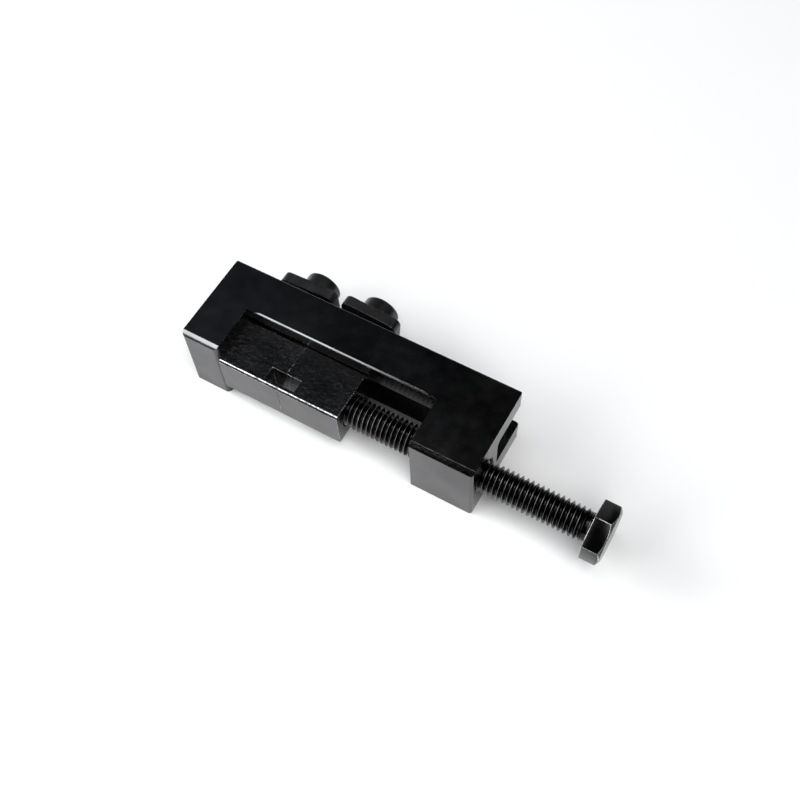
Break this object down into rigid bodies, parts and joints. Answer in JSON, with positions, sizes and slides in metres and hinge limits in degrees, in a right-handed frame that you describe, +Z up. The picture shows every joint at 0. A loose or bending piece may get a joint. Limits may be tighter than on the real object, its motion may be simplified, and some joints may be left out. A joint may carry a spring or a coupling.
{
  "type": "skate sharpener jaw jig",
  "caption": "Slotted steel bar with a fixed jaw, a screw-driven sliding jaw on a hex lead screw, and a clamp plate with a cap screw behind each jaw.",
  "frame": {"origin": "on the bar's underside, in the middle of the rail behind the window, halfway along the bar", "axes": "+X along the bar towards the lead screw's head, +Y from the open window towards the clamp plates, +Z up from the underside"},
  "size_m": [0.0869, 0.0278, 0.0162],
  "materials": {
    "bar_steel": "satin black oxide",
    "jaw_steel": "black oxide, slightly rough",
    "screw_steel": "black oxide with worn crests",
    "plate_steel": "satin black oxide",
    "cap_steel": "satin black oxide",
    "pin_steel": "ground steel"
  },
  "bodies": {
    "frame": {"frame_bar": "bar_steel", "fixed_jaw": "jaw_steel"},
    "jaw_slider": {"moving_jaw": "jaw_steel", "screw_tip_pin": "pin_steel"},
    "screw": {"lead_screw": "screw_steel"},
    "fixed_plate": {"fixed_clamp_plate": "plate_steel"},
    "fixed_cap": {"fixed_clamp_screw": "cap_steel"},
    "moving_plate": {"moving_clamp_plate": "plate_steel"},
    "moving_cap": {"moving_clamp_screw": "cap_steel"}
  },
  "joints": [
    {"name": "jaw_slide", "type": "slide", "parent": "frame", "child": "jaw_slider", "axis": [1, 0, 0], "range_m": [0, 0.0145]},
    {"name": "lead_screw_turn", "type": "hinge", "parent": "jaw_slider", "child": "screw", "pos_m": [0, -0.01015, 0.0081], "axis": [1, 0, 0], "range_deg": [0, 5221]},
    {"name": "fixed_clamp_slide", "type": "slide", "parent": "frame", "child": "fixed_plate", "axis": [0, 1, 0], "range_m": [-0.0016, 0.0015]},
    {"name": "fixed_clamp_turn", "type": "hinge", "parent": "fixed_plate", "child": "fixed_cap", "pos_m": [-0.01647, 0.0081, 0.0081], "axis": [0, 1, 0], "range_deg": [-823, 772]},
    {"name": "moving_clamp_slide", "type": "slide", "parent": "jaw_slider", "child": "moving_plate", "axis": [0, 1, 0], "range_m": [-0.0021, 0.0015]},
    {"name": "moving_clamp_turn", "type": "hinge", "parent": "moving_plate", "child": "moving_cap", "pos_m": [-0.00337, 0.0081, 0.0081], "axis": [0, 1, 0], "range_deg": [-1081, 772]}
  ],
  "couplings": [
    {"joint": "lead_screw_turn", "follows": "jaw_slide", "rad_per_m": 6283.2},
    {"joint": "fixed_clamp_turn", "follows": "fixed_clamp_slide", "rad_per_m": 8976},
    {"joint": "moving_clamp_turn", "follows": "moving_clamp_slide", "rad_per_m": 8976}
  ]
}
